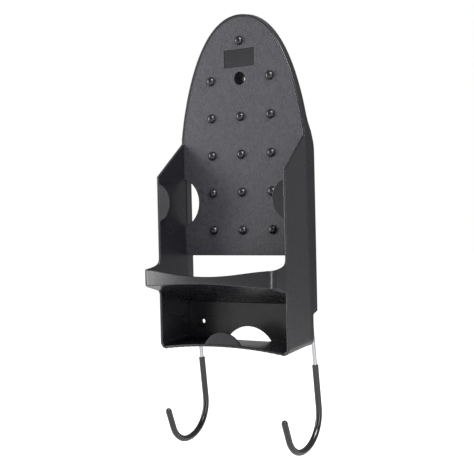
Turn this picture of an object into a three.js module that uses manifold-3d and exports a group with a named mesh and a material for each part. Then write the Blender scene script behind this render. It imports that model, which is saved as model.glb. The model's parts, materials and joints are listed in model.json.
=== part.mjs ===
import * as THREE from 'three';
import { mergeVertices } from 'three/addons/utils/BufferGeometryUtils.js';
import Module from 'manifold-3d';

// Wall holder: a one-piece moulded body (rest plate, side walls, hoop, shelf and tray)
// with a bent-wire hook frame snapped into its back and a dipped sleeve on each hook.
// Millimetres. +Z is up, the wall is the plane y = 0 and the body stands in front of it, at y < 0.
// The origin lies on the wall face of the upper screw boss, straight above the screw.

const wasm = await Module();
wasm.setup();

// Whole body
const halfWidth = 75.2;
const wallThickness = 2.7;
const rearFlare = 2.1;
const flareStartY = -12;
const frontSpread = 2.5;
const apexZ = 57.7;
const noseStartZ = -64;
const bottomFrontZ = -278.7;
const bottomRearZ = -273.7;
const bottomCorner = 7;
const floorArch = 5;
const frontLimitY = -92;

// Rest plate
const plateFrontY = -14.5;
const plateThickness = 2.5;
const plateBottomZ = -185.2;
const rimProud = 0.8;
const shoulderZ = -68.5;
const skirtRearY = -7;

// Side walls
const wallFrontY = -55.1;
const earFootZ = -103.5;
const shoulderFootZ = -84;
const shoulderHeadZ = -46;

// Hoop in front and the shelf below it
const hoopFrontY = -81.5;
const hoopBow = 3.5;
const hoopCorner = 8;
const hoopHalfWidth = 77.9;
const hoopRearY = -30;
const hoopSpread = 5;
const hoopEndTopZ = -197;
const hoopMidTopZ = -202.8;
const hoopEndBottomZ = -213.1;
const hoopMidBottomZ = -210;
const hoopRootTop = [-69, -195.6];
const hoopRootBottom = [-69.7, -215.1];
const hoopShoulderZ = -186;
const hoopFootZ = -224;
const shelfRearHalfWidth = 74.2;
const shelfThickness = 2.4;
const shelfLip = 1;

// Tray back panel
const panelFrontY = -8.5;
const panelThickness = 2.5;
const panelTopZ = -234;
const trayRearY = panelFrontY + panelThickness;
const notchZ = -240;

// Nubs
const nubRadius = 4.7;
const nubHeight = 3.8;
const nubColumn = 36;
const nubPitch = 38.2;
const nubLowestZ = -159.5;

// Screw bosses
const upperScrewZ = -6.5;
const lowerScrewX = 59.6;
const lowerScrewZ = -254.5;
const upperBossRadius = 8.8;
const lowerBossRadius = 7.9;
const counterboreRadius = 6.5;
const screwHoleRadius = 2.1;
const bossReliefRadius = 4.2;
const upperSeatY = -7.7;
const upperReliefY = -4.2;
const lowerSeatY = -4.9;
const lowerReliefY = -3.1;

// Name panel left blank
const plaqueWidth = 37;
const plaqueHeight = 17.5;
const plaqueZ = 14;
const plaqueDepth = 0.5;

// Heel tabs and the cut-outs behind them
const tabThickness = 1.8;
const tabSetBack = 0.8;
const sideTabCentre = [81.9, -129.8];
const sideTabRadius = 20.3;
const sideHoleCentre = [80.1, -130];
const sideHoleRadius = 25.8;
const lowerTabCentreZ = -284.1;
const lowerTabRadius = 24.9;
const lowerHoleCentreZ = -291.8;
const lowerHoleRadius = 34.4;
const recessDepth = 0.9;

// Hook frame
const wireRadius = 1.9;
const pivotY = -2.2;
const pivotZ = -238.5;
const hookX = 70;
const frameBend = 7;
const shankLean = THREE.MathUtils.degToRad(7);
const shankLength = 99;
const rearArcRadius = 34.5;
const frontArcRadius = 24;
const tipLean = THREE.MathUtils.degToRad(21.5);
const tipLength = 19;
const sleeveRadius = 3.15;
const sleeveBore = 2.35;
const sleeveStart = 56;
const clipX = [-46, 0, 46];
const clipWidth = 10;
const clipClearance = 0.4;
const clipWall = 1.6;
const clipRearY = -0.3;
const clipLipY = -1.1;
const clipPinch = 0.35;

const plasticBlack = new THREE.MeshStandardMaterial({ color: 0x2b2b2e, roughness: 0.5, metalness: 0 });
const zincWire = new THREE.MeshStandardMaterial({ color: 0xd6d8dc, roughness: 0.22, metalness: 1 });
const vinylBlack = new THREE.MeshStandardMaterial({ color: 0x1a1a1c, roughness: 0.42, metalness: 0 });

function toSolid(geometry) {
  const bare = geometry.clone();
  bare.deleteAttribute('normal');
  bare.deleteAttribute('uv');
  const merged = mergeVertices(bare, 1e-4);
  const triVerts = new Uint32Array(merged.index.array);
  const vertProperties = new Float32Array(merged.attributes.position.array);
  return new wasm.Manifold(new wasm.Mesh({ numProp: 3, vertProperties, triVerts }));
}

function toGeometry(solid) {
  const mesh = solid.getMesh();
  const geometry = new THREE.BufferGeometry();
  geometry.setAttribute('position', new THREE.BufferAttribute(new Float32Array(mesh.vertProperties), 3));
  geometry.setIndex(new THREE.BufferAttribute(new Uint32Array(mesh.triVerts), 1));
  return geometry;
}

function union(solids) {
  return solids.reduce((sum, solid) => sum.add(solid));
}

function extrude(points, depth, basis, origin) {
  const shape = new THREE.Shape(points.map(([u, v]) => new THREE.Vector2(u, v)));
  const geometry = new THREE.ExtrudeGeometry(shape, { depth, bevelEnabled: false });
  const matrix = new THREE.Matrix4().makeBasis(...basis);
  matrix.setPosition(origin);
  return toSolid(geometry.applyMatrix4(matrix));
}

const axisX = new THREE.Vector3(1, 0, 0);
const axisY = new THREE.Vector3(0, 1, 0);
const axisZ = new THREE.Vector3(0, 0, 1);

// Outline of [y, z] points, between x0 and x1
function prismX(points, x0, x1) {
  return extrude(points, x1 - x0, [axisY, axisZ, axisX], new THREE.Vector3(x0, 0, 0));
}

// Outline of [x, z] points, between y0 and y1
function prismY(points, y0, y1) {
  const back = axisY.clone().negate();
  return extrude(points, y1 - y0, [axisX, axisZ, back], new THREE.Vector3(0, y1, 0));
}

// Outline of [x, y] points, between z0 and z1
function prismZ(points, z0, z1) {
  return extrude(points, z1 - z0, [axisX, axisY, axisZ], new THREE.Vector3(0, 0, z0));
}

function block(low, high) {
  const size = high.map((value, i) => value - low[i]);
  const middle = high.map((value, i) => (value + low[i]) / 2);
  const geometry = new THREE.BoxGeometry(...size);
  return toSolid(geometry.translate(...middle));
}

function drumY(radius, y0, y1, x, z, sides = 32) {
  const geometry = new THREE.CylinderGeometry(radius, radius, y1 - y0, sides);
  return toSolid(geometry.translate(x, (y0 + y1) / 2, z));
}

function arcPoints(cx, cy, radius, fromDeg, toDeg, count) {
  const points = [];
  for (let i = 0; i <= count; i += 1) {
    const angle = THREE.MathUtils.degToRad(fromDeg + ((toDeg - fromDeg) * i) / count);
    points.push([cx + radius * Math.cos(angle), cy + radius * Math.sin(angle)]);
  }
  return points;
}

// Closed skin through sections of [x, z] points, each at its own y, in order of rising y
function loft(sections) {
  const count = sections[0].points.length;
  const position = [];
  for (const section of sections) {
    for (const [x, z] of section.points) position.push(x, section.y, z);
  }
  const contour = sections[0].points.map(([x, z]) => new THREE.Vector2(x, z));
  const cap = THREE.ShapeUtils.triangulateShape(contour, []);
  const index = [];
  for (const [a, b, c] of cap) {
    index.push(a, b, c);
    const last = (sections.length - 1) * count;
    index.push(last + a, last + c, last + b);
  }
  for (let s = 0; s + 1 < sections.length; s += 1) {
    for (let i = 0; i < count; i += 1) {
      const next = (i + 1) % count;
      const a = s * count + i;
      const b = s * count + next;
      index.push(a, a + count, b, b, a + count, b + count);
    }
  }
  const geometry = new THREE.BufferGeometry();
  geometry.setAttribute('position', new THREE.BufferAttribute(new Float32Array(position), 3));
  geometry.setIndex(index);
  return toSolid(geometry);
}

// Front outline of the body, anticlockwise seen from the front, drawn in by inset
function bodyOutline(inset, { widen, rise, low, arch }) {
  const half = halfWidth - inset + widen;
  const top = apexZ - inset + rise;
  const corner = bottomCorner - inset;
  const floorZ = low + inset;
  const nose = new THREE.CubicBezierCurve(
    new THREE.Vector2(half, noseStartZ),
    new THREE.Vector2(half - 3.3, -39.7),
    new THREE.Vector2(55.1 - inset * 0.7 + rise, top),
    new THREE.Vector2(0, top),
  );
  const right = nose.getPoints(24).map((point) => [point.x, point.y]);
  const left = right.slice(0, -1).reverse().map(([x, z]) => [-x, z]);
  const cornerLeft = arcPoints(-half + corner, floorZ + corner, corner, 180, 270, 5);
  const cornerRight = arcPoints(half - corner, floorZ + corner, corner, 270, 360, 5);
  const floor = [];
  const span = half - corner;
  for (let i = 1; i < 12; i += 1) {
    const u = i / 6 - 1;
    floor.push([u * span, floorZ + arch * (1 - u * u)]);
  }
  return [...right, ...left, ...cornerLeft, ...floor, ...cornerRight];
}

// The walls spread a little towards the front, flare in the last strip before the wall plane,
// and the floor drops towards the front at its two ends
function bodyLoft(inset) {
  const section = (y, widen, rise) => {
    const forward = (y - trayRearY) / (wallFrontY - trayRearY);
    const low = bottomRearZ + (bottomFrontZ - bottomRearZ) * forward;
    return { y, points: bodyOutline(inset, { widen, rise, low, arch: floorArch * forward }) };
  };
  const spreadRate = frontSpread / (flareStartY - wallFrontY);
  return loft([
    section(frontLimitY, spreadRate * (flareStartY - frontLimitY), 0),
    section(flareStartY, 0, 0),
    section(0.001, rearFlare, rearFlare),
  ]);
}

// Side view of the body: where the walls, the hoop's ends and the tray begin and stop
function sideProfile() {
  const rimY = plateFrontY - rimProud;
  const root = (from, pullFrom, pullTo, to) => {
    const corners = [from, pullFrom, pullTo, to].map((point) => new THREE.Vector2(...point));
    const curve = new THREE.CubicBezierCurve(...corners);
    return curve.getPoints(6).map((point) => [point.x, point.y]);
  };
  const overHoop = root([wallFrontY, hoopShoulderZ], [wallFrontY, -193], [-60, -193.7], hoopRootTop);
  const underHoop = root(hoopRootBottom, [-62, -217.4], [wallFrontY, -218.4], [wallFrontY, hoopFootZ]);
  const shoulder = new THREE.CubicBezierCurve(
    new THREE.Vector2(0, shoulderFootZ),
    new THREE.Vector2(0, shoulderFootZ + 14),
    new THREE.Vector2(skirtRearY, shoulderHeadZ - 16),
    new THREE.Vector2(skirtRearY, shoulderHeadZ),
  );
  return [
    [rimY, apexZ + 5],
    [rimY, shoulderZ],
    [wallFrontY, earFootZ],
    ...overHoop,
    [hoopFrontY, hoopEndTopZ],
    [frontLimitY, hoopEndTopZ],
    [frontLimitY, hoopEndBottomZ],
    [hoopFrontY, hoopEndBottomZ],
    ...underHoop,
    [wallFrontY, bottomFrontZ - 1],
    [trayRearY, bottomFrontZ - 1],
    [trayRearY, notchZ - 3],
    [0, notchZ],
    ...shoulder.getPoints(8).map((point) => [point.x, point.y]),
    [skirtRearY, apexZ + 5],
  ];
}

// Plan of the hoop's outer or inner face, spread wide behind the hoop to take in the whole body
function hoopPlan(inset) {
  const half = hoopHalfWidth - inset;
  const wide = hoopHalfWidth + hoopSpread;
  const corner = hoopCorner - inset;
  const front = hoopFrontY + inset;
  const bowHalf = half - corner;
  const points = [[wide, 1], [wide, hoopRearY], [half, hoopRearY]];
  points.push(...arcPoints(bowHalf, front + corner, corner, 360, 270, 6));
  for (let i = 1; i < 16; i += 1) {
    const u = 1 - i / 8;
    points.push([u * bowHalf, front - hoopBow * (1 - u * u)]);
  }
  points.push(...arcPoints(-bowHalf, front + corner, corner, 270, 180, 6));
  points.push([-half, hoopRearY], [-wide, hoopRearY], [-wide, 1]);
  return points.reverse();
}

// Front view of the hoop: low in the middle on top, arched underneath, both edges running off wide
function hoopFace() {
  const reach = hoopHalfWidth - hoopCorner;
  const top = [];
  const bottom = [];
  for (let i = 0; i <= 16; i += 1) {
    const u = i / 8 - 1;
    const waist = (1 - u * u) ** 1.5;
    top.push([u * reach, hoopEndTopZ + (hoopMidTopZ - hoopEndTopZ) * waist]);
    bottom.push([u * reach, hoopEndBottomZ + (hoopMidBottomZ - hoopEndBottomZ) * waist]);
  }
  const wide = reach + 14;
  const above = [[-wide, hoopEndTopZ + 4.2], ...top, [wide, hoopEndTopZ + 4.2]];
  const below = [[-wide, hoopEndBottomZ - 4.2], ...bottom, [wide, hoopEndBottomZ - 4.2]];
  return [...below, ...above.reverse()];
}

function shelfSection(y, half, midZ, endZ) {
  const under = [];
  const over = [];
  for (let i = 0; i <= 16; i += 1) {
    const u = i / 8 - 1;
    const z = midZ + (endZ - midZ) * u * u;
    under.push([u * half, z]);
    over.push([u * half, z + shelfThickness]);
  }
  return { y, points: [...under, ...over.reverse()] };
}

function makeShelf() {
  const frontHalf = hoopHalfWidth - wallThickness / 2;
  return loft([
    shelfSection(hoopFrontY - hoopBow, frontHalf, hoopMidBottomZ + shelfLip, hoopEndBottomZ + shelfLip),
    shelfSection(trayRearY, shelfRearHalfWidth, panelTopZ, panelTopZ),
  ]);
}

function makeShell() {
  const fromZ = bottomFrontZ - 8;
  const toZ = apexZ + 5;
  const planOuter = prismZ(hoopPlan(0), fromZ, toZ);
  const planInner = prismZ(hoopPlan(wallThickness), fromZ, toZ);
  const inner = bodyLoft(wallThickness).intersect(planInner);
  const walls = bodyLoft(0).intersect(planOuter).subtract(inner);
  const side = prismX(sideProfile(), -halfWidth - 10, halfWidth + 10);
  const behindHoop = block([-99, hoopFrontY + hoopCorner, fromZ], [99, 1, toZ]);
  const front = prismY(hoopFace(), frontLimitY - 1, hoopFrontY + hoopCorner + 0.5).add(behindHoop);
  return walls.intersect(side).intersect(front).add(makeShelf().intersect(planOuter));
}

function makePlates() {
  const fill = bodyLoft(wallThickness / 2);
  const restPlate = fill.intersect(
    block([-90, plateFrontY, plateBottomZ], [90, plateFrontY + plateThickness, 100]),
  );
  const panel = fill.intersect(
    block([-90, panelFrontY, bottomFrontZ], [90, trayRearY, panelTopZ + 0.5]),
  );
  return restPlate.add(panel);
}

function makeNub(x, z) {
  const profile = [new THREE.Vector2(0, -1), new THREE.Vector2(nubRadius, -1)];
  for (let i = 0; i <= 5; i += 1) {
    const angle = (i / 5) * (Math.PI / 2);
    profile.push(new THREE.Vector2(nubRadius * Math.cos(angle), nubHeight * Math.sin(angle)));
  }
  profile[profile.length - 1].x = 0;
  const geometry = new THREE.LatheGeometry(profile, 14);
  geometry.rotateX(Math.PI);
  return toSolid(geometry.translate(x, plateFrontY, z));
}

function nubPlaces() {
  const places = [[0, nubLowestZ + 5 * nubPitch]];
  for (let row = 0; row < 5; row += 1) {
    for (const column of [-1, 0, 1]) {
      const screwIsThere = row === 4 && column === 0;
      if (!screwIsThere) places.push([column * nubColumn, nubLowestZ + row * nubPitch]);
    }
  }
  return places;
}

// A boss behind the sheet whose front face is at faceY: screw hole, counterbore, hollow back
function addBoss(body, { x, z, radius, faceY, seatY, reliefY }) {
  return body
    .add(drumY(radius, faceY + 1, 0, x, z))
    .subtract(drumY(counterboreRadius, faceY - 2, seatY, x, z))
    .subtract(drumY(screwHoleRadius, faceY - 2, 2, x, z, 20))
    .subtract(drumY(bossReliefRadius, reliefY, 2, x, z, 20));
}

function addBosses(body) {
  const upper = { radius: upperBossRadius, faceY: plateFrontY, seatY: upperSeatY, reliefY: upperReliefY };
  const lower = { radius: lowerBossRadius, faceY: panelFrontY, seatY: lowerSeatY, reliefY: lowerReliefY };
  let result = addBoss(body, { ...upper, x: 0, z: upperScrewZ });
  for (const sign of [-1, 1]) result = addBoss(result, { ...lower, x: sign * lowerScrewX, z: lowerScrewZ });
  return result;
}

// A tapering core from the cut-out in the plate to the back of the tab at the front edge
function taperedCore(front, rear) {
  const sides = 40;
  const ring = ({ x, z, radius, y }) => {
    return { y, points: arcPoints(x, z, radius, 0, 360 - 360 / sides, sides - 1) };
  };
  return loft([ring(front), ring(rear)]);
}

// The core cuts the sheet behind and leaves a shallow recess in the wall it runs along
function addTab(body, core, disc) {
  const recess = core.intersect(bodyLoft(wallThickness - recessDepth));
  const tab = disc.intersect(bodyLoft(wallThickness / 2));
  return body.subtract(recess).add(tab);
}

function addSideTab(body, sign) {
  const tabFrontY = wallFrontY + tabSetBack;
  const tabRearY = tabFrontY + tabThickness;
  const [tabX, tabZ] = sideTabCentre;
  const [holeX, holeZ] = sideHoleCentre;
  const core = taperedCore(
    { x: sign * tabX, z: tabZ, radius: sideTabRadius, y: tabRearY },
    { x: sign * holeX, z: holeZ, radius: sideHoleRadius, y: plateFrontY + plateThickness + 0.5 },
  );
  return addTab(body, core, drumY(sideTabRadius, tabFrontY, tabRearY, sign * tabX, tabZ, 40));
}

function addLowerTab(body) {
  const tabFrontY = wallFrontY + tabSetBack;
  const tabRearY = tabFrontY + tabThickness;
  const core = taperedCore(
    { x: 0, z: lowerTabCentreZ, radius: lowerTabRadius, y: tabRearY },
    { x: 0, z: lowerHoleCentreZ, radius: lowerHoleRadius, y: trayRearY + 0.5 },
  );
  return addTab(body, core, drumY(lowerTabRadius, tabFrontY, tabRearY, 0, lowerTabCentreZ, 40));
}

// Saddle clips on the back of the tray panel, open towards the wall, that hold the wire
function makeClip(x) {
  const gap = wireRadius + clipClearance;
  const half = clipWidth / 2;
  const rise = gap + clipWall;
  const outer = block([x - half, trayRearY - 0.5, pivotZ - rise], [x + half, clipRearY, pivotZ + rise]);
  const bore = new THREE.CylinderGeometry(gap, gap, clipWidth + 2, 24);
  bore.rotateZ(Math.PI / 2);
  bore.translate(x, pivotY, pivotZ);
  const slot = gap - clipPinch;
  const mouth = block([x - half - 1, clipLipY, pivotZ - slot], [x + half + 1, 1, pivotZ + slot]);
  return outer.subtract(toSolid(bore)).subtract(mouth);
}

function makePlaque(body) {
  const half = plaqueWidth / 2;
  const rise = plaqueHeight / 2;
  const pocket = block(
    [-half, plateFrontY - 2, plaqueZ - rise],
    [half, plateFrontY + plaqueDepth, plaqueZ + rise],
  );
  return body.subtract(pocket);
}

function makeBody() {
  let body = makeShell().add(makePlates());
  body = addBosses(body);
  for (const sign of [-1, 1]) body = addSideTab(body, sign);
  body = addLowerTab(body);
  body = makePlaque(body);
  body = union([body, ...nubPlaces().map(([x, z]) => makeNub(x, z))]);
  return union([body, ...clipX.map((x) => makeClip(x))]);
}

// One hook's centre line as [y, z] points from the pivot down the shank and round to the tip
function hookLine() {
  const down = new THREE.Vector2(Math.sin(shankLean), -Math.cos(shankLean));
  const knee = new THREE.Vector2(pivotY, pivotZ).addScaledVector(down, shankLength);
  const leanDeg = THREE.MathUtils.radToDeg(shankLean);
  const rearX = knee.x - rearArcRadius * Math.cos(shankLean);
  const rearZ = knee.y - rearArcRadius * Math.sin(shankLean);
  const rear = arcPoints(rearX, rearZ, rearArcRadius, leanDeg, -90, 12);
  const frontZ = rearZ - rearArcRadius + frontArcRadius;
  const tipDeg = THREE.MathUtils.radToDeg(tipLean);
  const front = arcPoints(rearX, frontZ, frontArcRadius, -90, -180 + tipDeg, 8);
  const [endY, endZ] = front[front.length - 1];
  const tip = [endY - tipLength * Math.sin(tipLean), endZ + tipLength * Math.cos(tipLean)];
  return { knee: [knee.x, knee.y], bend: [...rear, ...front.slice(1)], tip };
}

function pointsBetween(from, to, spacing) {
  const length = Math.hypot(to[0] - from[0], to[1] - from[1]);
  const count = Math.max(1, Math.round(length / spacing));
  const points = [];
  for (let i = 1; i < count; i += 1) {
    const t = i / count;
    points.push([from[0] + (to[0] - from[0]) * t, from[1] + (to[1] - from[1]) * t]);
  }
  return points;
}

function onShank(distance) {
  return [pivotY + distance * Math.sin(shankLean), pivotZ - distance * Math.cos(shankLean)];
}

// Centre line of a hook from a distance down the shank to short of its tip
function hookPoints(sign, distance, short) {
  const line = hookLine();
  const start = onShank(distance);
  const last = line.bend[line.bend.length - 1];
  const tip = [line.tip[0] + short * Math.sin(tipLean), line.tip[1] - short * Math.cos(tipLean)];
  const flat = [start, ...pointsBetween(start, line.knee, 14), ...line.bend, tip];
  flat.splice(flat.length - 1, 0, ...pointsBetween(last, tip, 9));
  return flat.map(([y, z]) => new THREE.Vector3(sign * hookX, y, z));
}

function cornerPoints(sign) {
  const points = [];
  for (let i = 0; i < 6; i += 1) {
    const angle = (i / 6) * (Math.PI / 2);
    const across = hookX - frameBend + frameBend * Math.sin(angle);
    const [y, z] = onShank(frameBend * (1 - Math.cos(angle)));
    points.push(new THREE.Vector3(sign * across, y, z));
  }
  return points;
}

function sweep(points, radius, sides) {
  const ring = arcPoints(0, 0, radius, 0, 360 - 360 / sides, sides - 1);
  const shape = new THREE.Shape(ring.map(([u, v]) => new THREE.Vector2(u, v)));
  const path = new THREE.CatmullRomCurve3(points, false, 'centripetal');
  path.arcLengthDivisions = points.length * 20;
  const steps = Math.round(path.getLength() / 6);
  return toSolid(new THREE.ExtrudeGeometry(shape, { steps, bevelEnabled: false, extrudePath: path }));
}

function makeWire() {
  const half = (sign) => [
    ...cornerPoints(sign),
    ...hookPoints(sign, frameBend, 1.5),
  ];
  const crossbar = [];
  for (let x = -50; x <= 50; x += 25) crossbar.push(new THREE.Vector3(x, pivotY, pivotZ));
  return sweep([...half(-1).reverse(), ...crossbar, ...half(1)], wireRadius, 8);
}

function makeSleeve(sign) {
  const outerPoints = hookPoints(sign, sleeveStart, 0);
  const tip = outerPoints[outerPoints.length - 1];
  const dome = new THREE.SphereGeometry(sleeveRadius, 10, 8).translate(tip.x, tip.y, tip.z);
  const skin = sweep(outerPoints, sleeveRadius, 10).add(toSolid(dome));
  return skin.subtract(sweep(hookPoints(sign, sleeveStart - 5, 1), sleeveBore, 8));
}

function addMesh(group, name, solid, material) {
  const mesh = new THREE.Mesh(toGeometry(solid), material);
  mesh.name = name;
  group.add(mesh);
}

const holder = new THREE.Group();
addMesh(holder, 'holder_body', makeBody(), plasticBlack);
addMesh(holder, 'hook_frame_wire', makeWire(), zincWire);
addMesh(holder, 'hook_sleeve_left', makeSleeve(-1), vinylBlack);
addMesh(holder, 'hook_sleeve_right', makeSleeve(1), vinylBlack);

export default holder;
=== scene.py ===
import json
import math

import bmesh
import bpy
from mathutils import Matrix, Vector

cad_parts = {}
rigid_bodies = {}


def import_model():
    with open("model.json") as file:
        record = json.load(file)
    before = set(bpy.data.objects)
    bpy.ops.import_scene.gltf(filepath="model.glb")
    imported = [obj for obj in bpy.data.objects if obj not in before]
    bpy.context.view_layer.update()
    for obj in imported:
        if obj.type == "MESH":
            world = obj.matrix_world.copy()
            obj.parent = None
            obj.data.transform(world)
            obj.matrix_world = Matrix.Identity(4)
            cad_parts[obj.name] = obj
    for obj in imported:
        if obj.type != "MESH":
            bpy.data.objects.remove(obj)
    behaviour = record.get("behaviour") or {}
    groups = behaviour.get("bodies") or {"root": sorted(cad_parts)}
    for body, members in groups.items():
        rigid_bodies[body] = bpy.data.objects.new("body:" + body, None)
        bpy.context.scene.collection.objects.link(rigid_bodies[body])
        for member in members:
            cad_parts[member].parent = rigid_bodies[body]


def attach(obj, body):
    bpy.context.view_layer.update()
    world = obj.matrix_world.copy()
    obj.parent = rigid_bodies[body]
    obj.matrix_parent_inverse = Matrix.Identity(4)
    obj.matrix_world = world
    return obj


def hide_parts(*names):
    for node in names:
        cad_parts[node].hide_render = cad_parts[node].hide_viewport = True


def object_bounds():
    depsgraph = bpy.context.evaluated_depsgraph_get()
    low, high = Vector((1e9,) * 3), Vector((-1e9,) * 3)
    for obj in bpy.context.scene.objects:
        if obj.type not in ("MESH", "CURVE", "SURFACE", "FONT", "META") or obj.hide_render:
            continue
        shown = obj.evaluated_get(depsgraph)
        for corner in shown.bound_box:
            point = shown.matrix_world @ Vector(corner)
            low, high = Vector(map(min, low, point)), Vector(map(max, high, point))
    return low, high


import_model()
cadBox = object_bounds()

mm = 0.001


def deselectAll():
    if bpy.context.mode != "OBJECT":
        bpy.ops.object.mode_set(mode="OBJECT")
    bpy.ops.object.select_all(action="DESELECT")


def workOn(piece):
    deselectAll()
    piece.select_set(True)
    bpy.context.view_layer.objects.active = piece


def remove(*things):
    for thing in things:
        bpy.data.objects.remove(thing)


# Camera, floor and light: a soft, nearly shadowless product shot

view = {
    "place": (0.6154, -0.9041, -0.1471),
    "yaw": 35.0,
    "pitchDown": 1.02,
    "roll": -1.30,
    "lens": 81.34,
    "sensor": 36.0,
    "seesTo": 60.0,
}

stageValues = {
    "floorBelow": 0.09,  # gap under the hooks
    "floorSize": 14.0,
    "floorColour": "#f4f4f3",
    "floorRoughness": 0.9,
    "floorGlow": 0.7,
    "worldColour": "#ffffff",
    "worldStrength": 1.0,
    "fillStrength": 0.42,  # what the pale room throws on the object
}

# place, what it points at, width and height in metres, watts
softboxes = {
    "topLight": ((1.0, -0.7, 1.15), (0.03, 0.0, 0.05), 0.9, 0.7, 47.0),
    "leftLight": ((-1.6, -1.0, 0.1), (0.0, -0.05, -0.1), 0.7, 1.3, 26.0),
    "cornerLight": ((1.35, -0.95, -0.1), (0.07, -0.07, -0.2), 0.3, 1.0, 11.0),
}


def linear(hexColour):
    values = [int(hexColour[i:i + 2], 16) / 255 for i in (1, 3, 5)]
    return [v / 12.92 if v <= 0.04045 else ((v + 0.055) / 1.055) ** 2.4 for v in values] + [1.0]


def addNode(tree, kind, settings=None, inputs=None, links=None):
    node = tree.nodes.new(kind)
    for key, value in (settings or {}).items():
        setattr(node, key, value)
    for key, value in (inputs or {}).items():
        node.inputs[key].default_value = value
    for key, socket in (links or {}).items():
        tree.links.new(socket, node.inputs[key])
    return node


def newMaterial(name):
    material = bpy.data.materials.new(name)
    material.use_nodes = True
    material.node_tree.nodes.clear()
    return material, material.node_tree


def finishMaterial(tree, shader):
    addNode(tree, "ShaderNodeOutputMaterial", links={"Surface": shader.outputs[0]})


def addCamera():
    deselectAll()
    bpy.ops.object.camera_add()
    camera = bpy.context.object
    turn = Matrix.Rotation(math.radians(view["yaw"]), 4, "Z")
    tilt = Matrix.Rotation(math.radians(90 - view["pitchDown"]), 4, "X")
    roll = Matrix.Rotation(math.radians(view["roll"]), 4, "Z")
    camera.matrix_world = Matrix.Translation(view["place"]) @ turn @ tilt @ roll
    camera.data.lens = view["lens"]
    camera.data.sensor_width = view["sensor"]
    camera.data.clip_end = view["seesTo"]
    bpy.context.scene.camera = camera


def addFloor():
    lowest = cadBox[0][2] - stageValues["floorBelow"]
    deselectAll()
    bpy.ops.mesh.primitive_plane_add(size=stageValues["floorSize"], location=(0, 0, lowest))
    floor = bpy.context.object
    floor.name = "floor"
    material, tree = newMaterial("paleStudioPaper")
    colour = linear(stageValues["floorColour"])
    paper = {"Base Color": colour, "Roughness": stageValues["floorRoughness"], "Emission Color": colour}
    path = addNode(tree, "ShaderNodeLightPath")
    glow = addNode(
        tree, "ShaderNodeMapRange",
        inputs={"To Min": 0.0, "To Max": stageValues["floorGlow"]},
        links={"Value": path.outputs["Is Camera Ray"]},
    )
    shader = addNode(
        tree, "ShaderNodeBsdfPrincipled", inputs=paper, links={"Emission Strength": glow.outputs["Result"]}
    )
    finishMaterial(tree, shader)
    floor.data.materials.append(material)


def addLights():
    world = bpy.data.worlds.new("studio")
    world.use_nodes = True
    tree = world.node_tree
    tree.nodes.clear()
    white = linear(stageValues["worldColour"])
    path = addNode(tree, "ShaderNodeLightPath")
    strength = addNode(
        tree, "ShaderNodeMapRange",
        inputs={"To Min": stageValues["fillStrength"], "To Max": stageValues["worldStrength"]},
        links={"Value": path.outputs["Is Camera Ray"]},
    )
    background = addNode(
        tree, "ShaderNodeBackground",
        inputs={"Color": white},
        links={"Strength": strength.outputs["Result"]},
    )
    addNode(tree, "ShaderNodeOutputWorld", links={"Surface": background.outputs[0]})
    bpy.context.scene.world = world
    for name, (place, target, width, height, watts) in softboxes.items():
        deselectAll()
        bpy.ops.object.light_add(type="AREA", location=place)
        lamp = bpy.context.object
        lamp.name = name
        lamp.data.shape = "RECTANGLE"
        lamp.data.size = width
        lamp.data.size_y = height
        lamp.data.energy = watts
        aim = Vector(target) - Vector(place)
        lamp.rotation_euler = aim.to_track_quat("-Z", "Y").to_euler()
    bpy.context.scene.view_settings.view_transform = "Standard"


addCamera()
addFloor()
addLights()
print("stage: camera, floor and lights")


# The finishes; sizes in these three are mm
plastic = {
    "satinColour": "#131317",
    "satinRoughness": 0.27,
    "domeRoughness": 0.28,
    "roughnessDrift": 0.05,  # how far the flow clouds push the roughness either way
    "flowCloud": 25.0,
    "fineRipple": 1.2,
    "rippleStrength": 0.12,
    "rippleDepth": 0.1,
    "grainColour": "#2b2a30",
    "grainRoughness": 0.55,
    "grainPebble": 1.5,  # across one pebble; the real grain, about 0.6 mm, is too fine to show
    "pebbleSoftness": 0.6,
    "grainDrift": 3.2,
    "tintSpread": 0.3,  # the drift's tint, lighter and darker than the grain's colour
    "grainStrength": 0.75,
    "grainDepth": 0.35,
    "ior": 1.49,
}

zinc = {
    "colour": "#a4a6ab",
    "roughness": 0.22,
    "smoothest": -0.08,  # what the streaks take off the roughness, and what they add
    "roughest": 0.12,
    "drawLine": 0.5,  # between the die's draw lines
}

vinyl = {
    "colour": "#0f0f12",
    "roughness": 0.2,
    "ior": 1.52,
    "lump": 9.0,  # between the dip's soft lumps
    "lumpStrength": 0.35,
    "lumpDepth": 0.3,
}


# Black polypropylene, injection moulded in a spark-eroded tool: satin, with faint flow clouds
def makeSatinPlastic(name="mouldedPolypropyleneSatin", roughness=None):
    material, tree = newMaterial(name)
    where = addNode(tree, "ShaderNodeTexCoord").outputs["Object"]
    cloudSize = {"Scale": 1 / (plastic["flowCloud"] * mm), "Detail": 3.0}
    fineSize = {"Scale": 1 / (plastic["fineRipple"] * mm), "Detail": 2.0}
    cloud = addNode(tree, "ShaderNodeTexNoise", inputs=cloudSize, links={"Vector": where})
    fine = addNode(tree, "ShaderNodeTexNoise", inputs=fineSize, links={"Vector": where})
    base = plastic["satinRoughness"] if roughness is None else roughness
    rough = addNode(
        tree, "ShaderNodeMapRange",
        inputs={"To Min": base - plastic["roughnessDrift"], "To Max": base + plastic["roughnessDrift"]},
        links={"Value": cloud.outputs["Fac"]},
    )
    bump = addNode(
        tree, "ShaderNodeBump",
        inputs={"Strength": plastic["rippleStrength"], "Distance": plastic["rippleDepth"] * mm},
        links={"Height": fine.outputs["Fac"]},
    )
    shader = addNode(
        tree, "ShaderNodeBsdfPrincipled",
        inputs={"Base Color": linear(plastic["satinColour"]), "IOR": plastic["ior"]},
        links={"Roughness": rough.outputs["Result"], "Normal": bump.outputs["Normal"]},
    )
    finishMaterial(tree, shader)
    return material


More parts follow.
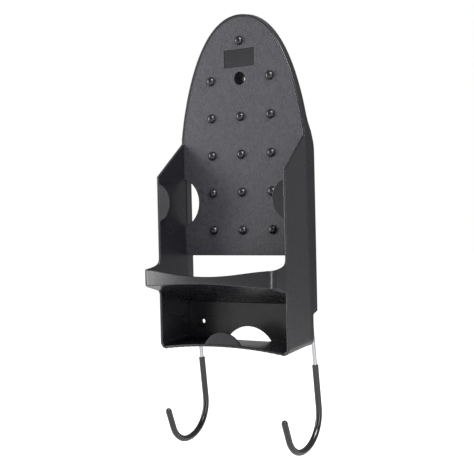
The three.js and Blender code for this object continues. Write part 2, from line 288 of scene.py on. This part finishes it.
# The same plastic where the tool is acid-etched: a pebbled grain that scatters light to a greyer black
def makeGrainedPlastic():
    material, tree = newMaterial("mouldedPolypropyleneGrain")
    where = addNode(tree, "ShaderNodeTexCoord").outputs["Object"]
    pebble = addNode(
        tree, "ShaderNodeTexVoronoi", {"feature": "SMOOTH_F1"},
        inputs={"Scale": 1 / (plastic["grainPebble"] * mm), "Smoothness": plastic["pebbleSoftness"]},
        links={"Vector": where},
    )
    drift = addNode(
        tree, "ShaderNodeTexNoise",
        inputs={"Scale": 1 / (plastic["grainDrift"] * mm), "Detail": 3.0, "Roughness": 0.6},
        links={"Vector": where},
    )
    height = addNode(
        tree, "ShaderNodeMath", {"operation": "ADD"},
        links={0: pebble.outputs["Distance"], 1: drift.outputs["Fac"]},
    )
    tint = addNode(tree, "ShaderNodeValToRGB", links={"Fac": drift.outputs["Fac"]})
    colour, spread = linear(plastic["grainColour"]), plastic["tintSpread"]
    for end, place, lift in zip(tint.color_ramp.elements, (spread, 1 - spread), (1 - spread, 1 + spread)):
        end.position = place
        end.color = [c * lift for c in colour[:3]] + [1.0]
    bump = addNode(
        tree, "ShaderNodeBump",
        inputs={"Strength": plastic["grainStrength"], "Distance": plastic["grainDepth"] * mm},
        links={"Height": height.outputs[0]},
    )
    shader = addNode(
        tree, "ShaderNodeBsdfPrincipled",
        inputs={"IOR": plastic["ior"], "Roughness": plastic["grainRoughness"]},
        links={"Base Color": tint.outputs["Color"], "Normal": bump.outputs["Normal"]},
    )
    finishMaterial(tree, shader)
    return material


# Drawn steel wire, zinc plated and passivated: a bright, slightly streaky metal
def makeZinc():
    material, tree = newMaterial("brightZincWire")
    where = addNode(tree, "ShaderNodeTexCoord").outputs["Object"]
    streak = addNode(
        tree, "ShaderNodeTexNoise",
        inputs={"Scale": 1 / (zinc["drawLine"] * mm), "Detail": 2.0},
        links={"Vector": where},
    )
    low, high = zinc["roughness"] + zinc["smoothest"], zinc["roughness"] + zinc["roughest"]
    rough = addNode(
        tree, "ShaderNodeMapRange",
        inputs={"To Min": low, "To Max": high},
        links={"Value": streak.outputs["Fac"]},
    )
    shader = addNode(
        tree, "ShaderNodeBsdfPrincipled",
        inputs={"Base Color": linear(zinc["colour"]), "Metallic": 1.0},
        links={"Roughness": rough.outputs["Result"]},
    )
    finishMaterial(tree, shader)
    return material


# Plastisol dip: soft glossy vinyl with the slow ripple of a coat that ran before it set
def makeVinyl():
    material, tree = newMaterial("dippedVinyl")
    where = addNode(tree, "ShaderNodeTexCoord").outputs["Object"]
    ripple = addNode(
        tree, "ShaderNodeTexNoise",
        inputs={"Scale": 1 / (vinyl["lump"] * mm), "Detail": 2.0},
        links={"Vector": where},
    )
    bump = addNode(
        tree, "ShaderNodeBump",
        inputs={"Strength": vinyl["lumpStrength"], "Distance": vinyl["lumpDepth"] * mm},
        links={"Height": ripple.outputs["Fac"]},
    )
    coat = {"Base Color": linear(vinyl["colour"]), "Roughness": vinyl["roughness"], "IOR": vinyl["ior"]}
    shader = addNode(
        tree, "ShaderNodeBsdfPrincipled", inputs=coat, links={"Normal": bump.outputs["Normal"]}
    )
    finishMaterial(tree, shader)
    return material


satinPlastic = makeSatinPlastic()
domePlastic = makeSatinPlastic("mouldedPolypropyleneDome", plastic["domeRoughness"])
grainedPlastic = makeGrainedPlastic()
brightZinc = makeZinc()
dippedVinyl = makeVinyl()
print("materials: satin, dome and grained plastic, zinc, vinyl")


# Where an outline's (u, v) and the level it stands at go, for each direction of extrusion
layouts = {
    "X": lambda u, v, level: Vector((level, u, v)) * mm,
    "Y": lambda u, v, level: Vector((u, level, v)) * mm,
    "Z": lambda u, v, level: Vector((u, v, level)) * mm,
}


def arc(centreU, centreV, radius, fromDeg, toDeg, count):
    angles = [math.radians(fromDeg + (toDeg - fromDeg) * i / count) for i in range(count + 1)]
    return [(centreU + radius * math.cos(a), centreV + radius * math.sin(a)) for a in angles]


def bezier(p0, p1, p2, p3, count):
    points = []
    for i in range(count + 1):
        t = i / count
        weights = ((1 - t) ** 3, 3 * t * (1 - t) ** 2, 3 * t * t * (1 - t), t ** 3)
        points.append(tuple(sum(w * p[k] for w, p in zip(weights, (p0, p1, p2, p3))) for k in (0, 1)))
    return points


def setRing(mesh, ringBefore, ringAfter):
    work = bmesh.from_edit_mesh(mesh)
    for vertex in [v for v in work.verts if v.select]:
        nearest = min(range(len(ringBefore)), key=lambda i: (ringBefore[i] - vertex.co).length_squared)
        vertex.co = ringAfter[nearest]
    bmesh.update_edit_mesh(mesh)


def faceOutwards():
    bpy.ops.mesh.select_all(action="SELECT")
    bpy.ops.mesh.normals_make_consistent(inside=False)
    bpy.ops.object.mode_set(mode="OBJECT")


def splitIntoTriangles():
    bpy.ops.mesh.select_all(action="SELECT")
    bpy.ops.mesh.quads_convert_to_tris(quad_method="SHORTEST_DIAGONAL", ngon_method="BEAUTY")


# A filled ring put on the first outline, then extruded through the others in turn
def loft(name, sections, along="Y"):
    rings = [[layouts[along](u, v, level) for u, v in points] for level, points in sections]
    deselectAll()
    bpy.ops.mesh.primitive_circle_add(vertices=len(rings[0]), fill_type="NGON")
    piece = bpy.context.object
    piece.name = name
    for vertex, spot in zip(piece.data.vertices, rings[0]):
        vertex.co = spot
    piece.data.update()
    bpy.ops.object.mode_set(mode="EDIT")
    bpy.ops.mesh.select_all(action="SELECT")
    for before, after in zip(rings, rings[1:]):
        step = after[0] - before[0]
        bpy.ops.mesh.extrude_region_move(TRANSFORM_OT_translate={"value": step})
        setRing(piece.data, [spot + step for spot in before], after)
    splitIntoTriangles()
    faceOutwards()
    return piece


def prism(name, points, low, high, along):
    return loft(name, [(low, points), (high, points)], along)


def slab(name, low, high):
    outline = [(low[0], low[2]), (high[0], low[2]), (high[0], high[2]), (low[0], high[2])]
    return prism(name, outline, low[1], high[1], "Y")


def drum(name, x, z, radius, front, rear, sides=48):
    return prism(name, arc(x, z, radius, 0, 360 - 360 / sides, sides - 1), front, rear, "Y")


def combine(piece, operation, *tools):
    for tool in tools:
        workOn(piece)
        bpy.ops.object.modifier_add(type="BOOLEAN")
        boolean = piece.modifiers[-1]
        boolean.operation = operation
        boolean.solver = "MANIFOLD"
        boolean.object = tool
        bpy.ops.object.modifier_apply(modifier=boolean.name)
        remove(tool)
    return piece


flatWithin = 0.6  # degrees


# Flat faces are made whole again and points closer than the weld joined, so that the bevel runs clean
def tidyMesh(piece, weld):
    workOn(piece)
    bpy.ops.object.mode_set(mode="EDIT")
    bpy.ops.mesh.select_all(action="SELECT")
    bpy.ops.mesh.remove_doubles(threshold=weld * mm)
    bpy.ops.mesh.dissolve_limited(angle_limit=math.radians(flatWithin))
    bpy.ops.object.mode_set(mode="OBJECT")


def roundEdges(piece, width, segments=2, sharperThan=32):
    workOn(piece)
    bpy.ops.object.modifier_add(type="BEVEL")
    bevel = piece.modifiers[-1]
    bevel.width = width * mm
    bevel.segments = segments
    bevel.limit_method = "ANGLE"
    bevel.angle_limit = math.radians(sharperThan)
    bevel.use_clamp_overlap = False
    bevel.miter_outer = "MITER_ARC"
    bpy.ops.object.modifier_apply(modifier=bevel.name)


def triangulate(piece):
    workOn(piece)
    bpy.ops.object.mode_set(mode="EDIT")
    splitIntoTriangles()
    bpy.ops.object.mode_set(mode="OBJECT")


# After the shell's own edges are round, only the edges square to a flat face are still sharp
def roundCuts(piece, width):
    tidyMesh(piece, body["cutWeld"])
    roundEdges(piece, width, 2, 55)
    triangulate(piece)


# Where a bevel runs out along a shallow crease it can overshoot: stray points are drawn back
def drawBack(piece, halfWidth):
    for vertex in piece.data.vertices:
        vertex.co.x = max(-halfWidth * mm, min(halfWidth * mm, vertex.co.x))


def finishPiece(piece, name, bodyName, node, materials, smoothBelow=40):
    workOn(piece)
    piece.name = name
    piece.data.materials.clear()
    for material in materials:
        piece.data.materials.append(material)
    bpy.ops.object.shade_smooth_by_angle(angle=math.radians(smoothBelow))
    bpy.ops.object.modifier_add(type="WEIGHTED_NORMAL")
    piece.modifiers[-1].keep_sharp = True
    bpy.ops.object.modifier_apply(modifier=piece.modifiers[-1].name)
    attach(piece, bodyName)
    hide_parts(node)


# Holder body: one moulding, all sizes in mm
body = {
    "halfWidth": 75.2,
    "wall": 2.7,
    "flare": 2.1,
    "flareFrom": -12.0,
    "frontSpread": 2.5,
    "apex": 57.7,
    "noseStart": -64.0,
    "nosePull": (3.3, 24.3),  # how far in and up the outline's lower curve handle stands
    "noseWidth": 55.1,  # half-width of its upper handle
    "bottomFront": -278.7,
    "bottomRear": -273.7,
    "corner": 7.0,
    "floorArch": 5.0,
    "frontLimit": -92.0,
    "shoulder": -68.5,
    "plateFront": -14.5,
    "plateThickness": 2.5,
    "plateBottom": -185.2,
    "rimProud": 0.8,
    "skirtRear": -7.0,
    "wallFront": -55.1,
    "earFoot": -103.5,
    "panelFront": -8.5,
    "panelRear": -6.0,
    "panelTop": -234.0,
    "sheetLap": 0.6,  # into the shelf
    "notch": -240.0,
    "notchRise": 3.0,
    # the rear edge steps forward to the skirt: share of the way, and height
    "rearShoulder": ((0, -84.0), (0, -70.0), (1, -62.0), (1, -46.0)),
    "shellEdge": 0.95,
    "shellWeld": 0.15,
    "cutEdge": 0.3,
    "cutWeld": 0.06,
}

# How far the limiting and cutting shapes run, clear of the body
clear = {"side": 82.0, "sheetSide": 90.0, "front": -94.0, "rear": 3.0, "below": -290.0, "above": 70.0}

hoop = {
    "halfWidth": 77.9,
    "front": -81.5,
    "bow": 3.5,
    "corner": 8.0,
    "topEnd": -197.0,
    "topMiddle": -202.8,
    "bottomEnd": -213.1,
    "bottomMiddle": -210.0,
    "rootTop": (-69.0, -195.6),
    "rootBottom": (-69.7, -215.1),
    "overPull": ((-55.1, -193.0), (-60.0, -193.7)),  # curve handles of the fillets into the side walls
    "underPull": ((-62.0, -217.4), (-55.1, -218.4)),
    "shoulder": -186.0,
    "foot": -224.0,
    "shelfThickness": 2.4,
    "shelfLip": 1.0,
    "shelfRearHalf": 74.2,
    "spread": 5.0,  # behind widensAt the hoop's plan takes in the whole body
    "widensAt": -30.0,
    "runOff": 4.2,  # how much the edges of the trimming cuts rise or drop where they run off wide
    "runOut": 14.0,
    "cutDepth": 12.0,
}


# Front outline, anticlockwise from the right shoulder, drawn in by inset
def bodyOutline(inset, widen, rise, low, arch):
    half = body["halfWidth"] - inset + widen
    top = body["apex"] - inset + rise
    corner = body["corner"] - inset
    floor = low + inset
    shoulder = (half, body["noseStart"])
    pullIn, pullUp = body["nosePull"]
    lower = (half - pullIn, body["noseStart"] + pullUp)
    upper = (body["noseWidth"] - inset * 0.7 + rise, top)
    right = bezier(shoulder, lower, upper, (0, top), 44)
    left = [(-x, z) for x, z in reversed(right[:-1])]
    cornerLeft = arc(corner - half, floor + corner, corner, 180, 270, 8)
    cornerRight = arc(half - corner, floor + corner, corner, 270, 360, 8)
    span = half - corner
    steps = [i / 10 - 1 for i in range(1, 20)]
    bottom = [(u * span, floor + arch * (1 - u * u)) for u in steps]
    return right + left + cornerLeft + bottom + cornerRight


# The walls spread towards the front and flare at the rear; the floor's ends drop towards the front
def bodyLoft(name, inset, grow=0.0):
    def section(y, widen, rise):
        forward = (y - body["panelRear"]) / (body["wallFront"] - body["panelRear"])
        low = body["bottomRear"] + (body["bottomFront"] - body["bottomRear"]) * forward
        return (y, bodyOutline(inset, widen, rise, low, body["floorArch"] * forward))

    front, rear = body["frontLimit"] - grow, 0.5 + grow
    spread = body["frontSpread"] / (body["flareFrom"] - body["wallFront"])
    flare = body["flare"] / -body["flareFrom"] * (rear - body["flareFrom"])
    return loft(name, [
        section(front, spread * (body["flareFrom"] - front), 0),
        section(body["flareFrom"], 0, 0),
        section(rear, flare, flare),
    ])


def hoopPlan(inset):
    half = hoop["halfWidth"] - inset
    wide = hoop["halfWidth"] + hoop["spread"]
    corner = hoop["corner"] - inset
    front = hoop["front"] + inset
    flat = half - corner
    leftCorner = arc(-flat, front + corner, corner, 180, 270, 10)
    bowed = [(u * flat, front - hoop["bow"] * (1 - u * u)) for u in [i / 12 - 1 for i in range(1, 24)]]
    rightCorner = arc(flat, front + corner, corner, 270, 360, 10)
    widens, back = hoop["widensAt"], clear["rear"]
    right = [(half, widens), (wide, widens), (wide, back)]
    left = [(-x, y) for x, y in reversed(right)]
    return leftCorner + bowed + rightCorner + right + left


def planLimit(name, inset):
    return prism(name, hoopPlan(inset), clear["below"], clear["above"], "Z")


def sideProfile():
    rim = body["plateFront"] - body["rimProud"]
    skirt = body["skirtRear"]
    front = body["wallFront"]
    above = clear["above"]
    below = clear["below"]
    beyond = clear["front"]
    shoulder = bezier(*[(share * skirt, z) for share, z in body["rearShoulder"]], 12)
    overHoop = bezier((front, hoop["shoulder"]), *hoop["overPull"], hoop["rootTop"], 10)
    underHoop = bezier(hoop["rootBottom"], *hoop["underPull"], (front, hoop["foot"]), 10)
    return [
        (rim, above),
        (rim, body["shoulder"]),
        (front, body["earFoot"]),
        *overHoop,
        (hoop["front"], hoop["topEnd"]),
        (beyond, hoop["topEnd"]),
        (beyond, hoop["bottomEnd"]),
        (hoop["front"], hoop["bottomEnd"]),
        *underHoop,
        (front, below),
        (body["panelRear"], below),
        (body["panelRear"], body["notch"] - body["notchRise"]),
        (0, body["notch"]),
        *shoulder,
        (skirt, above),
    ]


# The hoop is deepest at its ends and waisted in the middle; both edges run off wide of the body
def hoopEdge(middle, end, runOff, count=24):
    reach = hoop["halfWidth"] - hoop["corner"]
    points = [(-reach - hoop["runOut"], end + runOff)]
    for i in range(count + 1):
        u = 2 * i / count - 1
        points.append((u * reach, end + (middle - end) * (1 - u * u) ** 1.5))
    return [*points, (reach + hoop["runOut"], end + runOff)]


def trimHoop(shell):
    top = hoopEdge(hoop["topMiddle"], hoop["topEnd"], hoop["runOff"])
    bottom = hoopEdge(hoop["bottomMiddle"], hoop["bottomEnd"], -hoop["runOff"])
    wide, front, rear = top[-1][0], clear["front"], hoop["front"] + hoop["corner"]
    high, low = hoop["topEnd"] + hoop["cutDepth"], hoop["bottomEnd"] - hoop["cutDepth"]
    above = prism("aboveHoop", [*top, (wide, high), (-wide, high)], front, rear, "Y")
    below = prism("belowHoop", [*reversed(bottom), (-wide, low), (wide, low)], front, rear, "Y")
    return combine(shell, "DIFFERENCE", above, below)


def makeShell():
    outer = combine(bodyLoft("shell", 0), "INTERSECT", planLimit("plan", 0))
    inner = combine(bodyLoft("hollow", body["wall"], 1), "INTERSECT", planLimit("innerPlan", body["wall"]))
    shell = combine(outer, "DIFFERENCE", inner)
    side = prism("side", sideProfile(), -clear["side"], clear["side"], "X")
    shell = combine(shell, "INTERSECT", side)
    return trimHoop(shell)


def shelfSection(y, half, middle, end):
    steps = [i / 12 - 1 for i in range(25)]
    under = [(u * half, middle + (end - middle) * u * u) for u in steps]
    over = [(x, z + hoop["shelfThickness"]) for x, z in reversed(under)]
    return (y, under + over)


def addShelf(shell):
    lip, half = hoop["shelfLip"], hoop["halfWidth"] - body["wall"] / 2
    front, rear = hoop["front"] - hoop["bow"], body["panelRear"] - 0.2
    shelf = loft("shelf", [
        shelfSection(front, half, hoop["bottomMiddle"] + lip, hoop["bottomEnd"] + lip),
        shelfSection(rear, hoop["shelfRearHalf"], body["panelTop"], body["panelTop"]),
    ])
    combine(shelf, "INTERSECT", planLimit("shelfPlan", body["wall"] / 2))
    return combine(shell, "UNION", shelf)


# A flat sheet across the inside, its edges buried in the walls
def sheet(name, front, rear, low, high):
    wide = clear["sheetSide"]
    limit = slab(name + "Slab", (-wide, front, low), (wide, rear, high))
    return combine(bodyLoft(name, body["wall"] / 2), "INTERSECT", limit)


def addSheets(shell):
    front, panelTop = body["plateFront"], body["panelTop"] + body["sheetLap"]
    plate = sheet("plate", front, front + body["plateThickness"], body["plateBottom"], clear["above"])
    panel = sheet("panel", body["panelFront"], body["panelRear"], clear["below"], panelTop)
    return combine(shell, "UNION", plate, panel)


bosses = {
    "upper": {"x": 0, "z": -6.5, "radius": 8.8, "sheet": -14.5, "seat": -7.7, "relief": -4.2},
    "left": {"x": -59.6, "z": -254.5, "radius": 7.9, "sheet": -8.5, "seat": -4.9, "relief": -3.1},
    "right": {"x": 59.6, "z": -254.5, "radius": 7.9, "sheet": -8.5, "seat": -4.9, "relief": -3.1},
}

screwHole = {"counterbore": 6.5, "hole": 2.1, "relief": 4.2, "overrun": 2.0, "behind": 3.0}


def addBosses(shell):
    behind = screwHole["behind"]
    for name, boss in bosses.items():
        x, z, sheetFront = boss["x"], boss["z"], boss["sheet"]
        before = sheetFront - screwHole["overrun"]
        combine(shell, "UNION", drum(name + "Boss", x, z, boss["radius"], sheetFront + 1, 0))
        combine(
            shell, "DIFFERENCE",
            drum(name + "Counterbore", x, z, screwHole["counterbore"], before, boss["seat"]),
            drum(name + "Hole", x, z, screwHole["hole"], before, behind, 32),
            drum(name + "Relief", x, z, screwHole["relief"], boss["relief"], behind, 32),
        )
    return shell


# Each tab stands at the front edge, and the tool's core behind it leaves a cut-out in the sheet
tabs = {
    "left": {"tab": (-81.9, -129.8, 20.3), "hole": (-80.1, -130.0, 25.8), "sheetRear": -12.0},
    "right": {"tab": (81.9, -129.8, 20.3), "hole": (80.1, -130.0, 25.8), "sheetRear": -12.0},
    "lower": {"tab": (0, -284.1, 24.9), "hole": (0, -291.8, 34.4), "sheetRear": -6.0},
}

tabForm = {"thickness": 1.8, "setBack": 0.8, "recess": 0.9}


def ring(x, z, radius, sides=64):
    return arc(x, z, radius, 0, 360 - 360 / sides, sides - 1)


def addTabs(shell):
    front = body["wallFront"] + tabForm["setBack"]
    rear = front + tabForm["thickness"]
    for name, tab in tabs.items():
        tabRing, holeRing = ring(*tab["tab"]), ring(*tab["hole"])
        core = loft(name + "Core", [(rear, tabRing), (tab["sheetRear"] + 0.5, holeRing)])
        combine(core, "INTERSECT", bodyLoft("recessLimit", body["wall"] - tabForm["recess"]))
        combine(shell, "DIFFERENCE", core)
        disc = prism(name + "Tab", tabRing, front, rear, "Y")
        combine(disc, "INTERSECT", bodyLoft("tabLimit", body["wall"] / 2))
        combine(shell, "UNION", disc)
    return shell


blankPanel = {"width": 37.0, "height": 17.5, "z": 14.0, "depth": 0.5}


def cutBlankPanel(shell):
    half, rise = blankPanel["width"] / 2, blankPanel["height"] / 2
    front = body["plateFront"]
    pocket = slab(
        "panelPocket",
        (-half, front - 2, blankPanel["z"] - rise),
        (half, front + blankPanel["depth"], blankPanel["z"] + rise),
    )
    return combine(shell, "DIFFERENCE", pocket)


nub = {
    "radius": 4.7,
    "height": 3.8,
    "crown": 0.3,  # radius of the flat spot on top
    "column": 36.0,
    "pitch": 38.2,
    "lowest": -159.5,
    "rows": 5,
    "rings": 8,
    "sides": 40,
}


def nubPlaces():
    places = [(0, nub["lowest"] + nub["rows"] * nub["pitch"])]
    for row in range(nub["rows"]):
        for column in (-1, 0, 1):
            screwIsThere = row == nub["rows"] - 1 and column == 0
            if not screwIsThere:
                places.append((column * nub["column"], nub["lowest"] + row * nub["pitch"]))
    return places


# One dome: a disc extruded forwards in rings that close on its crown
def makeDome():
    front, sides = body["plateFront"], nub["sides"]
    sections = [(front + 1, ring(0, 0, nub["radius"], sides))]
    for i in range(nub["rings"]):
        angle = i / nub["rings"] * math.pi / 2
        level = front - nub["height"] * math.sin(angle)
        sections.append((level, ring(0, 0, nub["radius"] * math.cos(angle), sides)))
    sections.append((front - nub["height"] * 0.998, ring(0, 0, nub["crown"], sides)))
    return loft("dome", sections)


def addNubs(shell):
    dome = makeDome()
    domes = []
    for x, z in nubPlaces():
        workOn(dome)
        bpy.ops.object.duplicate()
        copy = bpy.context.object
        copy.location = (x * mm, 0, z * mm)
        bpy.ops.object.transform_apply(location=True)
        domes.append(copy)
    deselectAll()
    for copy in domes:
        copy.select_set(True)
    bpy.context.view_layer.objects.active = domes[0]
    bpy.ops.object.join()
    joined = bpy.context.object
    remove(dome)
    return combine(shell, "UNION", joined)


clip = {
    "places": (-46, 0, 46),
    "width": 10.0,
    "wall": 1.6,
    "gap": 2.3,
    "rear": -0.3,
    "lip": -1.1,
    "pinch": 0.35,
}
pivot = {"y": -2.2, "z": -238.5}


def addClips(shell):
    half = clip["width"] / 2
    rise = clip["gap"] + clip["wall"]
    slot = clip["gap"] - clip["pinch"]
    for x in clip["places"]:
        low, high = x - half, x + half
        hole = ring(pivot["y"], pivot["z"], clip["gap"], 32)
        front, rear = body["panelRear"] - 0.5, clip["rear"]
        saddle = slab("clip", (low, front, pivot["z"] - rise), (high, rear, pivot["z"] + rise))
        bore = prism("clipBore", hole, low - 1, high + 1, "X")
        mouth = slab("clipMouth", (low - 1, clip["lip"], pivot["z"] - slot), (high + 1, 1, pivot["z"] + slot))
        combine(saddle, "DIFFERENCE", bore, mouth)
        combine(shell, "UNION", saddle)
    return shell


# The etched grain covers the rest plate's front only; domes and the blank panel are polished in the tool
def paintBody(shell):
    front = body["plateFront"] * mm
    domeTop = front - nub["height"] * mm * 1.01
    places = nubPlaces()
    for face in shell.data.polygons:
        x, y, z = face.center
        nearDome = any(math.hypot(x / mm - a, z / mm - b) < nub["radius"] + 0.1 for a, b in places)
        if nearDome and domeTop < y < front - 0.05 * mm:
            face.material_index = 2
        elif face.normal.y < -0.95 and abs(y - front) < 0.08 * mm and z > body["plateBottom"] * mm:
            face.material_index = 1


def makeBody():
    shell = makeShell()
    tidyMesh(shell, body["shellWeld"])
    roundEdges(shell, body["shellEdge"], 3, 30)
    triangulate(shell)
    print("body: walls and hoop")
    shell = addSheets(addShelf(shell))
    print("body: shelf, rest plate and tray panel")
    shell = cutBlankPanel(addTabs(addBosses(shell)))
    print("body: bosses, tabs and blank panel")
    roundCuts(shell, body["cutEdge"])
    drawBack(shell, hoop["halfWidth"])
    shell = addClips(addNubs(shell))
    triangulate(shell)
    print("body: edges rounded, nubs and clips")
    looks = [satinPlastic, grainedPlastic, domePlastic]
    finishPiece(shell, "mouldedBody", "holder", "holder_body", looks)
    paintBody(shell)


makeBody()


# Hook frame: bent wire with a dipped sleeve on each hook

wire = {
    "radius": 1.9,
    "hookX": 70.0,
    "bend": 7.0,
    "lean": 7.0,
    "shank": 99.0,
    "rearArc": 34.5,
    "frontArc": 24.0,
    "tipLean": 21.5,
    "tip": 19.0,
    "cutBack": 1.5,  # the wire stops this far short of the sleeve's end
    "sides": 24,
    "cornerSteps": 10,
    "rearSteps": 20,
    "frontSteps": 14,
}

sleeve = {"radius": 3.15, "bore": 1.95, "start": 56.0, "sides": 28, "lipRadius": 0.35, "domeSteps": 6}


def startRing(name, radius, sides, place, axis):
    deselectAll()
    bpy.ops.mesh.primitive_circle_add(vertices=sides, radius=radius * mm, fill_type="NOTHING")
    piece = bpy.context.object
    piece.name = name
    piece.rotation_euler = Vector(axis).to_track_quat("Z", "Y").to_euler()
    piece.location = Vector(place) * mm
    bpy.ops.object.transform_apply(location=True, rotation=True)
    bpy.ops.object.mode_set(mode="EDIT")
    bpy.ops.mesh.select_all(action="SELECT")
    return piece


def run(direction, length):
    step = Vector(direction).normalized() * length * mm
    bpy.ops.mesh.extrude_region_move(TRANSFORM_OT_translate={"value": step})


# Spin turns clockwise about its axis
def bend(centre, axis, degrees, steps):
    bpy.ops.mesh.spin(
        steps=steps, angle=math.radians(degrees),
        center=Vector(centre) * mm, axis=axis,
    )


# The hook from the shank's foot: a wide bend forwards, a tighter one up, and the leaning tip
def bendHook(x, tipLength):
    lean = math.radians(wire["lean"])
    kneeY = pivot["y"] + wire["shank"] * math.sin(lean)
    kneeZ = pivot["z"] - wire["shank"] * math.cos(lean)
    centreY = kneeY - wire["rearArc"] * math.cos(lean)
    rearZ = kneeZ - wire["rearArc"] * math.sin(lean)
    frontZ = rearZ - wire["rearArc"] + wire["frontArc"]
    bend((x, centreY, rearZ), (1, 0, 0), 90 + wire["lean"], wire["rearSteps"])
    bend((x, centreY, frontZ), (1, 0, 0), 90 - wire["tipLean"], wire["frontSteps"])
    tipLean = math.radians(wire["tipLean"])
    tipWay = (0, -math.sin(tipLean), math.cos(tipLean))
    run(tipWay, tipLength)
    return tipWay


# A cut end is drawn in a little; a dipped end closes in a dome
def closeCutEnd(tipWay):
    run(tipWay, 0.3)
    bpy.ops.transform.resize(value=(0.85, 0.85, 0.85))
    bpy.ops.mesh.edge_face_add()


def closeDomedEnd(tipWay, radius):
    steps = sleeve["domeSteps"]
    for i in range(1, steps + 1):
        before, after = math.pi / 2 * (i - 1) / steps, math.pi / 2 * i / steps
        size = max(math.cos(after), 0.06) / math.cos(before)
        run(tipWay, radius * (math.sin(after) - math.sin(before)))
        bpy.ops.transform.resize(value=(size, size, size))
    bpy.ops.mesh.edge_face_add()


def downShank():
    lean = math.radians(wire["lean"])
    return Vector((0, math.sin(lean), -math.cos(lean)))


# Half the wire is modelled; the other half is its mirror image
def mirror(piece):
    workOn(piece)
    bpy.ops.object.modifier_add(type="MIRROR")
    bpy.ops.object.modifier_apply(modifier=piece.modifiers[-1].name)
    bpy.ops.object.mode_set(mode="EDIT")
    bpy.ops.mesh.select_all(action="SELECT")
    bpy.ops.mesh.remove_doubles(threshold=0.005 * mm)
    faceOutwards()


def makeWire():
    side = wire["hookX"]
    across = side - wire["bend"]
    piece = startRing("hookWire", wire["radius"], wire["sides"], (0, pivot["y"], pivot["z"]), (1, 0, 0))
    run((1, 0, 0), across)
    down = downShank()
    centre = Vector((across, pivot["y"], pivot["z"])) + down * wire["bend"]
    bend(centre, down.cross(Vector((1, 0, 0))), 90, wire["cornerSteps"])
    run(down, wire["shank"] - wire["bend"])
    tipWay = bendHook(side, wire["tip"] - wire["cutBack"])
    closeCutEnd(tipWay)
    bpy.ops.object.mode_set(mode="OBJECT")
    mirror(piece)
    finishPiece(piece, "bentWireFrame", "hook_frame", "hook_frame_wire", [brightZinc])


def makeSleeve(sign, name, node):
    down = downShank()
    start = Vector((sign * wire["hookX"], pivot["y"], pivot["z"])) + down * sleeve["start"]
    piece = startRing(name, sleeve["radius"], sleeve["sides"], start, down)
    run(down, wire["shank"] - sleeve["start"])
    tipWay = bendHook(sign * wire["hookX"], wire["tip"])
    closeDomedEnd(tipWay, sleeve["radius"])
    bpy.ops.mesh.select_all(action="SELECT")
    bpy.ops.mesh.remove_doubles(threshold=0.005 * mm)
    faceOutwards()
    workOn(piece)
    bpy.ops.object.modifier_add(type="SOLIDIFY")
    skin = piece.modifiers[-1]
    skin.thickness = (sleeve["radius"] - sleeve["bore"]) * mm
    skin.offset = -1
    bpy.ops.object.modifier_apply(modifier=skin.name)
    roundEdges(piece, sleeve["lipRadius"], 3, 50)
    finishPiece(piece, name, "hook_frame", node, [dippedVinyl])


makeWire()
makeSleeve(-1, "vinylSleeveLeft", "hook_sleeve_left")
makeSleeve(1, "vinylSleeveRight", "hook_sleeve_right")
print("hook frame: wire and sleeves")

deselectAll()
